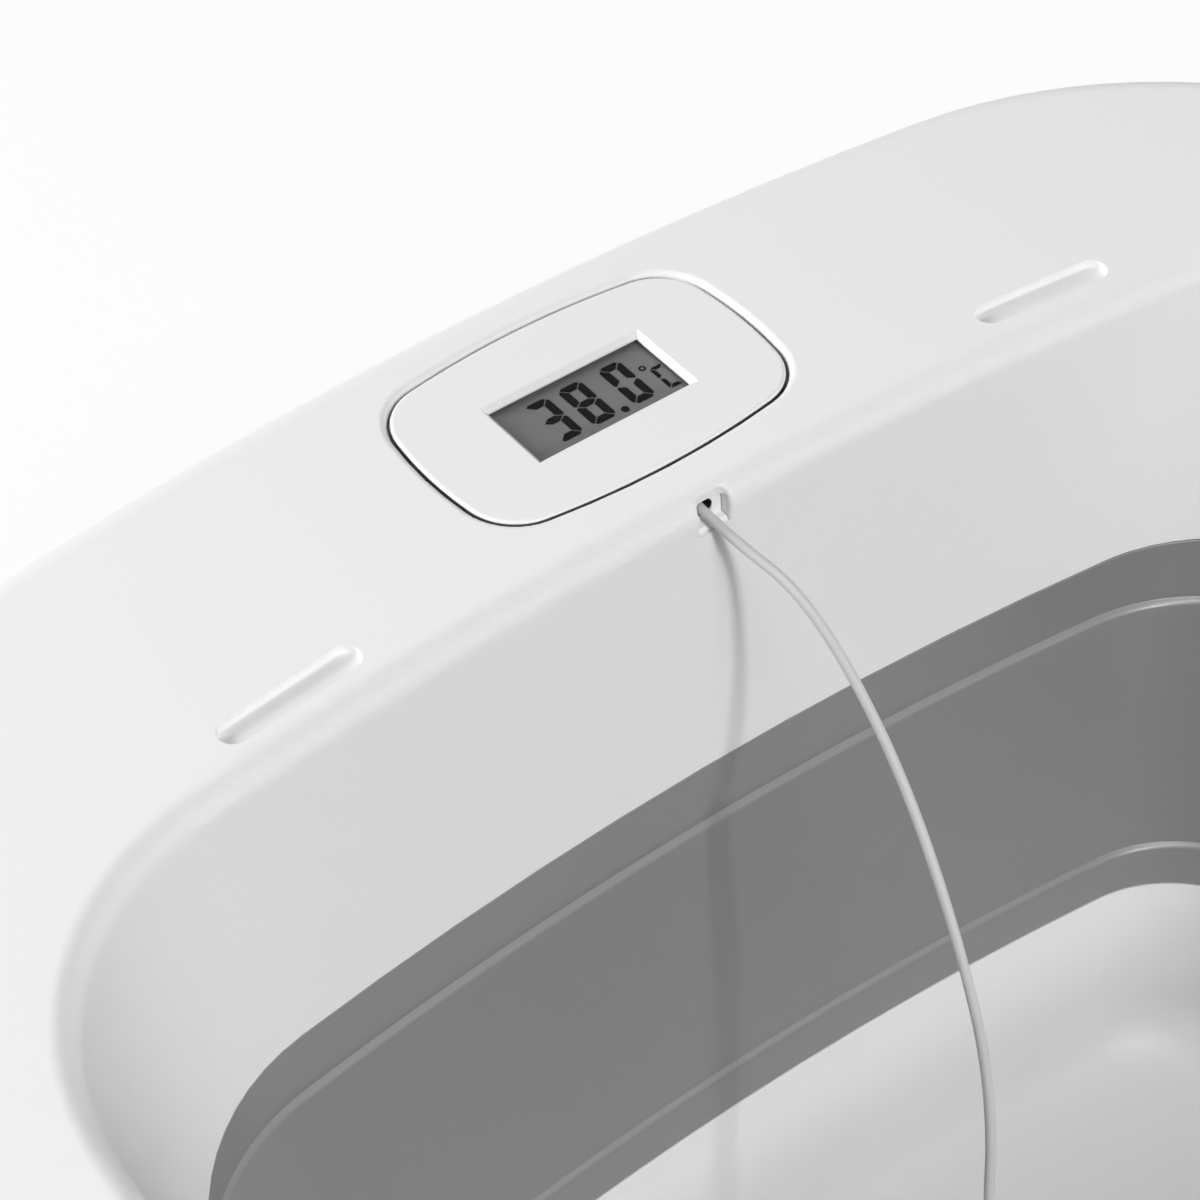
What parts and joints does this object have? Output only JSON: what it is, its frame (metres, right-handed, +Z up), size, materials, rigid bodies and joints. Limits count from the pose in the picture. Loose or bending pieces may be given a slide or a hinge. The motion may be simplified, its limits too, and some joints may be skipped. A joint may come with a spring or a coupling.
{
  "type": "foot spa basin",
  "caption": "Collapsible foot spa basin with a thermometer display in its rim, a hanging temperature probe, massage rollers, hand slots and a drain plug.",
  "frame": {"origin": "under the middle of the rim, on the surface that the feet stand on", "axes": "+Z up, +Y towards the thermometer end, +X to the right of a person who sits at the -Y end and reads the display"},
  "size_m": [0.37, 0.44, 0.2],
  "materials": {
    "white_plastic": "satin moulded polypropylene",
    "case_plastic": "satin moulded plastic",
    "band_rubber": "matt thermoplastic rubber",
    "soft_rubber": "matt rubber",
    "grey_plastic": "satin moulded plastic",
    "roller_plastic": "satin moulded plastic",
    "steel": "plain stainless steel",
    "clear_window": "clear flat plastic window",
    "display": "grey liquid-crystal display",
    "board": "green circuit board",
    "cord_skin": "smooth white cord sleeve",
    "probe_plastic": "smooth white sealed capsule"
  },
  "bodies": {
    "base": {"base_shell": "white_plastic", "foot_pad_1": "soft_rubber", "foot_pad_2": "soft_rubber", "foot_pad_3": "soft_rubber", "foot_pad_4": "soft_rubber", "roller_cradle_left": "grey_plastic", "roller_cradle_right": "grey_plastic", "roller_axle_1": "steel", "roller_axle_2": "steel", "roller_axle_3": "steel", "roller_axle_4": "steel", "roller_axle_5": "steel", "roller_axle_6": "steel", "collapsible_band": "band_rubber", "probe_cord": "cord_skin", "sensor_probe": "probe_plastic"},
    "rim": {"rim_shell": "white_plastic", "cord_grommet": "white_plastic", "thermometer_panel": "white_plastic", "lcd_lens": "clear_window", "lcd_panel": "display", "zebra_strips": "soft_rubber", "circuit_board": "board", "coin_cell": "steel", "battery_clip": "steel", "thermometer_case": "case_plastic", "case_gasket": "soft_rubber", "case_screws": "steel"},
    "battery_cover": {"battery_cover": "case_plastic"},
    "drain_plug": {"drain_plug": "grey_plastic", "drain_seal": "soft_rubber"},
    "massage_roller_1": {"massage_roller_1": "roller_plastic"},
    "massage_roller_2": {"massage_roller_2": "roller_plastic"},
    "massage_roller_3": {"massage_roller_3": "roller_plastic"},
    "massage_roller_4": {"massage_roller_4": "roller_plastic"},
    "massage_roller_5": {"massage_roller_5": "roller_plastic"},
    "massage_roller_6": {"massage_roller_6": "roller_plastic"}
  },
  "joints": [
    {"name": "collapse", "type": "slide", "parent": "base", "child": "rim", "axis": [0, 0, 1], "range_m": [-0.11, 0], "deforming": ["collapsible_band", "probe_cord"]},
    {"name": "battery_cover_turn", "type": "hinge", "parent": "rim", "child": "battery_cover", "pos_m": [0, 0.1868, 0.1811], "axis": [0, 0, 1], "range_deg": [-60, 0]},
    {"name": "drain_plug_lift", "type": "slide", "parent": "base", "child": "drain_plug", "axis": [0, 0, 1], "range_m": [0, 0.03]},
    {"name": "massage_roller_1_spin", "type": "hinge", "parent": "base", "child": "massage_roller_1", "pos_m": [-0.056, -0.04, 0.0195], "axis": [1, 0, 0], "continuous": true},
    {"name": "massage_roller_2_spin", "type": "hinge", "parent": "base", "child": "massage_roller_2", "pos_m": [-0.056, -0.014, 0.0195], "axis": [1, 0, 0], "continuous": true},
    {"name": "massage_roller_3_spin", "type": "hinge", "parent": "base", "child": "massage_roller_3", "pos_m": [-0.056, 0.012, 0.0195], "axis": [1, 0, 0], "continuous": true},
    {"name": "massage_roller_4_spin", "type": "hinge", "parent": "base", "child": "massage_roller_4", "pos_m": [0.056, -0.04, 0.0195], "axis": [1, 0, 0], "continuous": true},
    {"name": "massage_roller_5_spin", "type": "hinge", "parent": "base", "child": "massage_roller_5", "pos_m": [0.056, -0.014, 0.0195], "axis": [1, 0, 0], "continuous": true},
    {"name": "massage_roller_6_spin", "type": "hinge", "parent": "base", "child": "massage_roller_6", "pos_m": [0.056, 0.012, 0.0195], "axis": [1, 0, 0], "continuous": true}
  ]
}
